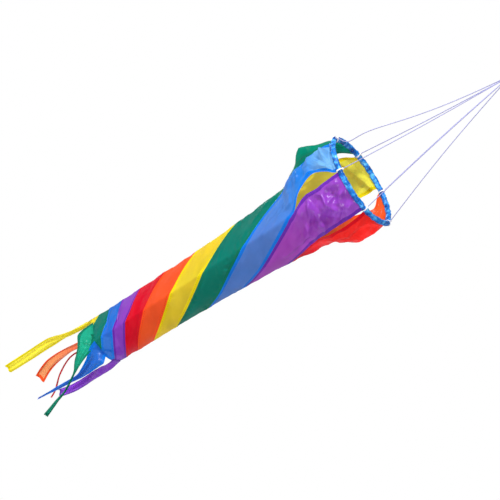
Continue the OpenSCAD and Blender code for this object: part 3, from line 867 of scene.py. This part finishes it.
def top_knot():
    """The lines' ends looped through the swivel's eye and wrapped round with turns of the same cord."""
    t = np.linspace(0, 2 * math.pi, 49)[:-1]
    loop = np.stack([KNOT_X + LOOP_R * np.cos(t), KNOT_Y + 0 * t, LOOP_Z + LOOP_R * np.sin(t)], -1)
    high, cord_r, core_r = LOOP_Z - LOOP_R + 0.0003, 0.0007, 0.0027
    rise = high - WRAP_FOOT
    turns = rise / (2.05 * cord_r)
    t = np.linspace(0, 2 * math.pi * turns, int(turns * 28))
    r = 0.0031 + 0.00025 * np.sin(0.63 * t)
    wrap = np.stack([KNOT_X + r * np.cos(t), KNOT_Y + r * np.sin(t), WRAP_FOOT + rise * t / t[-1]], -1)
    core = np.array([[KNOT_X, KNOT_Y, WRAP_FOOT - 0.0004], [KNOT_X, KNOT_Y, high]])
    tuck = np.linspace(0, 1, 14)
    end = wrap[0] + np.stack([0.002 * tuck, 0.001 * tuck, -0.009 * tuck ** 1.3], -1)
    o = as_mesh([tube_curve("wrapped_knot", loop, LOOP_WIRE, KNOT, closed=True),
                 tube_curve("wrap", wrap, cord_r, KNOT),
                 tube_curve("core", core, core_r, KNOT),
                 tube_curve("tuck", end, cord_r, KNOT)])
    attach(o, "windsock")
    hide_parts("bridle_knot")


for i in range(SIDES):
    bridle(i)
    line_knot(i)
top_knot()

# ---------------------------------------------------------------- tails
# Each route is [x, y, drop, direction of the width] from the middle of the tube's end, in metres and degrees
TAIL_ROUTES = {
    "blue": [[.009, -.040, 0, 10], [.017, -.040, .012, 15], [.027, -.034, .053, 20],
             [.026, -.028, .082, 20], [.025, -.022, .112, 15], [.023, -.016, .160, 10]],
    "purple": [[.040, -.009, 0, 80], [.041, -.014, .020, 50], [.040, -.002, .065, 20],
               [.039, .008, .103, 10], [.035, .022, .141, 5]],
    "red": [[.029, .030, 0, 136], [.020, .030, .016, 120], [.002, .024, .036, 90], [-.007, .022, .058, 90],
            [-.008, .026, .088, 90], [.007, .036, .128, 90], [.026, .048, .159, 90],
            [.034, .060, .182, 90]],
    "orange": [[-.009, .041, 0, 192], [-.014, .042, .025, 200], [-.017, .043, .054, 210],
               [-.019, .045, .096, 200], [-.017, .048, .141, 190], [-.004, .052, .177, 185]],
    "yellow": [[-.0385, .0155, 0, 248], [-.040, .018, .020, 240], [-.043, .022, .061, 215],
               [-.048, .022, .102, 195], [-.048, .018, .148, 190], [-.048, .015, .199, 190]],
    "green": [[-.032, -.027, 0, 310], [-.022, -.036, .008, 330], [-.009, -.044, .016, 345],
              [.005, -.054, .034, 350], [.019, -.061, .050, 355], [.035, -.068, .076, 370],
              [.042, -.072, .097, 370], [.053, -.078, .127, 370]],
}
# Share of its width that each tail shows at each route point; the rest is taken up in lengthwise pleats
OPEN = {"blue": [1, 0.95, 0.5, 0.4, 0.34, 0.12], "purple": [0.9, 0.75, 0.6, 0.65, 0.7],
        "red": [0.5, 0.12, 0.07, 0.07, 0.07, 0.07, 0.07, 0.1], "orange": [0.6, 0.22, 0.28, 0.5, 0.8, 0.95],
        "yellow": [0.5, 0.42, 0.5, 0.78, 0.82, 0.82], "green": [1, 1, 0.95, 0.6, 0.2, 0.14, 0.22, 0.4]}
# How far a tail is spread at its root, and how many pleats it has
SPREAD = {"green": 1.4, "blue": 1.4}
PLEATS = {"blue": 3, "purple": 2, "red": 9, "orange": 2, "yellow": 3, "green": 5}
# Half widths in mm at the root and the tip; the share of the half width where the hem starts, and its columns
TAIL_ROOT, TAIL_TIP = 13.0, 10.0
TAIL_HEM, TAIL_HEM_COLS, TAIL_INNER = 0.64, 6, 29


def curve_at(route, t):
    """A smooth curve through the route's points, at t counted in points."""
    p = np.array(route, float)
    i = np.clip(np.floor(t).astype(int), 0, len(p) - 2)
    f = (t - i)[:, None]
    a, b, c, d = (p[np.clip(i + j, 0, len(p) - 1)] for j in (-1, 0, 1, 2))
    return 0.5 * (2 * b + (c - a) * f + (2 * a - 5 * b + 4 * c - d) * f * f
                  + (3 * b - a - 3 * c + d) * f * f * f)


def tail_root(face, x, travel, toward):
    """Points of a tail laid on the tube's own end at direction face; x is mm from its middle."""
    swing = 1 if abs((face + 90 - toward + 180) % 360 - 180) < 90 else -1
    phi = face + swing * np.degrees(x / TUBE_R)
    r = (tube_r(TUBE_LEN) + 0.8) * section(phi, TUBE_LEN)
    t = np.radians(phi)
    return np.stack([r * np.cos(t), r * np.sin(t), -TUBE_LEN + END_HEM - travel[:, None] + 0 * x], -1)


def tail_width(centre, travel, degrees):
    """Unit vectors across and out of a tail, square to the way it runs."""
    run = np.gradient(centre, travel, axis=0)
    run /= np.linalg.norm(run, axis=1)[:, None]
    turn = np.radians(degrees)
    across = np.stack([np.cos(turn), np.sin(turn), 0 * turn], -1)
    across = across - (across * run).sum(1)[:, None] * run
    across /= np.linalg.norm(across, axis=1)[:, None]
    return across, np.cross(run, across)


def ribbon(name, seed):
    """A tail along its route, pleated lengthwise where it shows less than its width."""
    route = TAIL_ROUTES[name]
    last = len(route) - 1
    t = np.linspace(0, last, last * 26 + 1)
    path_at = curve_at(route, t)
    centre = path_at[:, :3] / MM
    travel = np.concatenate([[0], np.cumsum(np.linalg.norm(np.diff(centre, axis=0), axis=1))])
    half = TAIL_ROOT + (TAIL_TIP - TAIL_ROOT) * t / last
    half *= 1 + (SPREAD.get(name, 1) - 1) * (1 - smooth(t / 3))
    half = half[:, None]
    side = np.concatenate([np.linspace(-1, -TAIL_HEM, TAIL_HEM_COLS + 1)[:-1],
                           np.linspace(-TAIL_HEM, TAIL_HEM, TAIL_INNER),
                           np.linspace(TAIL_HEM, 1, TAIL_HEM_COLS + 1)[1:]])[None, :]
    x = side * half
    down = travel[:, None] + 0 * x
    below_hoop = centre * [1, 1, -1]
    across, face_out = tail_width(below_hoop, travel, path_at[:, 3])

    # pleats take up the width that does not show, and crumples lie on top of them
    loose = smooth(travel / 25)[:, None]
    shown = np.interp(t, np.arange(last + 1), OPEN[name])[:, None]
    pleat = 0.5 * np.sin(math.pi * (side * PLEATS[name] / 2 + 0.25 * np.sin(down / 23)))
    deep = 2 * half / PLEATS[name] * np.sqrt(1 - shown ** 2)
    crumples = 1.4 * wave_noise(x * 0.9, down, 17, seed) + 0.7 * wave_noise(x, down, 7, seed + 4)
    crumpled = 2.6 if name == "green" else 0.7
    bulge = loose * (deep * pleat + crumpled * np.sqrt(shown) * crumples)
    bulge += 0.25 * (np.abs(side) > TAIL_HEM)
    shown = 1 + (shown - 1) * loose
    free = (below_hoop - [0, 0, TUBE_LEN])[:, None, :] + (shown * x)[:, :, None] * across[:, None, :] \
        + bulge[:, :, None] * face_out[:, None, :]

    # the root starts on the tube's own end
    face = np.degrees(math.atan2(centre[0, 1], centre[0, 0]))
    root = tail_root(face, x, travel, path_at[0, 3])
    share = smooth(travel / 16)[:, None, None]
    points = root * (1 - share) + free * share
    uv = np.stack([(half - np.abs(x)) * MM, down * MM], -1)
    rows, cols = x.shape
    bands = np.zeros((rows - 1, cols - 1), int)
    bands[:, :TAIL_HEM_COLS] = bands[:, -TAIL_HEM_COLS:] = 1
    bands[travel[1:] > travel[-1] - END_HEM, :] = 1
    o = grid_object("tail_cloth_" + name, points, uv, [RIBBON[name], HEM[name]], bands)
    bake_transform(o)
    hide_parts("tail_" + name)


for i, name in enumerate(NAMES):
    ribbon(name, 40.0 + 3 * i)

# ---------------------------------------------------------------- metal and rod
FINISH = {"snap_wire": STEEL, "snap_clevis": STEEL, "snap_gate": STEEL, "snap_gate_pin": STEEL,
          "swivel_upper_eye": BRASS, "swivel_cap": BRASS, "swivel_barrel": BRASS, "swivel_balls": BALL,
          "swivel_lower_eye": BRASS, "hoop_rod": FIBRE, "hoop_ferrule": TUBE_BRASS}
for name, mat in FINISH.items():
    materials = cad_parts[name].data.materials
    if not materials:
        materials.append(mat)
    for i in range(len(materials)):
        materials[i] = mat
